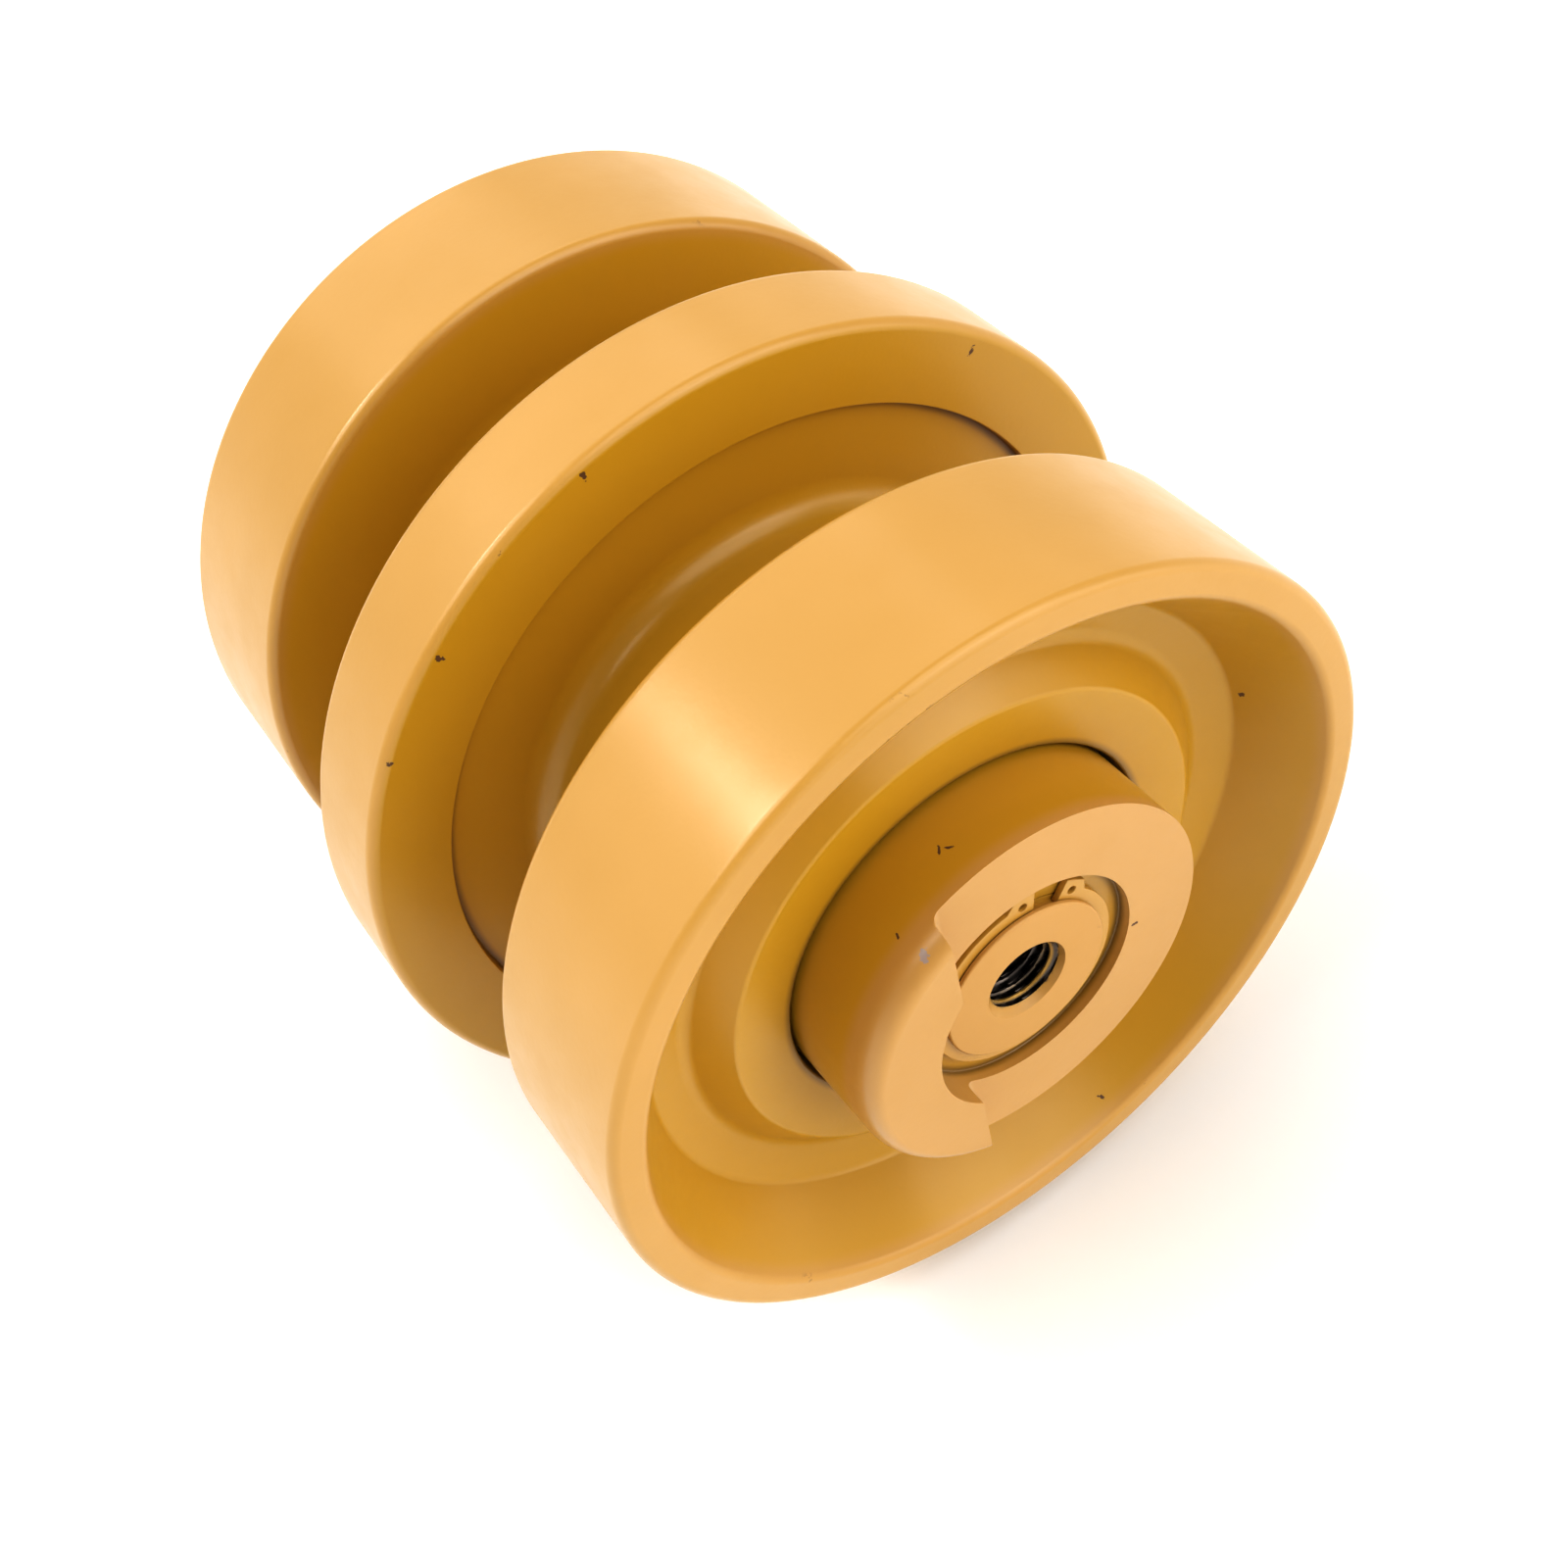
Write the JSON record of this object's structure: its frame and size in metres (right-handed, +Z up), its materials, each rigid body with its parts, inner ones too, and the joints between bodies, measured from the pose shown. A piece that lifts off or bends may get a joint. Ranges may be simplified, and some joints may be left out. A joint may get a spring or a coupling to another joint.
{
  "type": "track roller",
  "caption": "Triple-flange bottom roller of a rubber-track undercarriage, turning on a fixed bolt-on shaft held by keyed collars and retaining rings.",
  "frame": {"origin": "middle of the roller, on the shaft's axis, halfway between the two key tops", "axes": "+Y along the shaft from the front end (seen in the picture) to the rear end, +Z up, and the collars' raised keys on the -X side"},
  "size_m": [0.2564, 0.277, 0.2564],
  "materials": {
    "shell_paint": "satin golden-yellow enamel over forged steel, with small chips on the edges",
    "collar_paint": "satin golden-yellow enamel over cast steel",
    "ring_paint": "spring steel ring painted over with the roller",
    "shaft_steel": "ground hardened steel, painted golden yellow on its end faces, oily black threads",
    "plug_steel": "blackened steel",
    "copper": "soft copper sealing washer",
    "o_ring_rubber": "black nitrile",
    "toric_rubber": "black nitrile",
    "seal_iron": "hard cast iron with a lapped running face",
    "bronze": "plain bearing bronze, oiled"
  },
  "bodies": {
    "axle": {"shaft": "shaft_steel", "oil_plug": "plug_steel", "oil_plug_washer": "copper", "collar_front": "collar_paint", "snap_ring_front": "ring_paint", "shaft_o_ring_front": "o_ring_rubber", "seal_ring_fixed_front": "seal_iron", "toric_fixed_front": "toric_rubber", "collar_rear": "collar_paint", "snap_ring_rear": "ring_paint", "shaft_o_ring_rear": "o_ring_rubber", "seal_ring_fixed_rear": "seal_iron", "toric_fixed_rear": "toric_rubber"},
    "roller": {"roller_shell": "shell_paint", "bushing_front": "bronze", "thrust_washer_front": "bronze", "seal_ring_turning_front": "seal_iron", "toric_turning_front": "toric_rubber", "bushing_rear": "bronze", "thrust_washer_rear": "bronze", "seal_ring_turning_rear": "seal_iron", "toric_turning_rear": "toric_rubber"}
  },
  "joints": [
    {"name": "roller_spin", "type": "hinge", "parent": "axle", "child": "roller", "pos_m": [0, 0, 0], "axis": [0, 1, 0], "continuous": true}
  ]
}
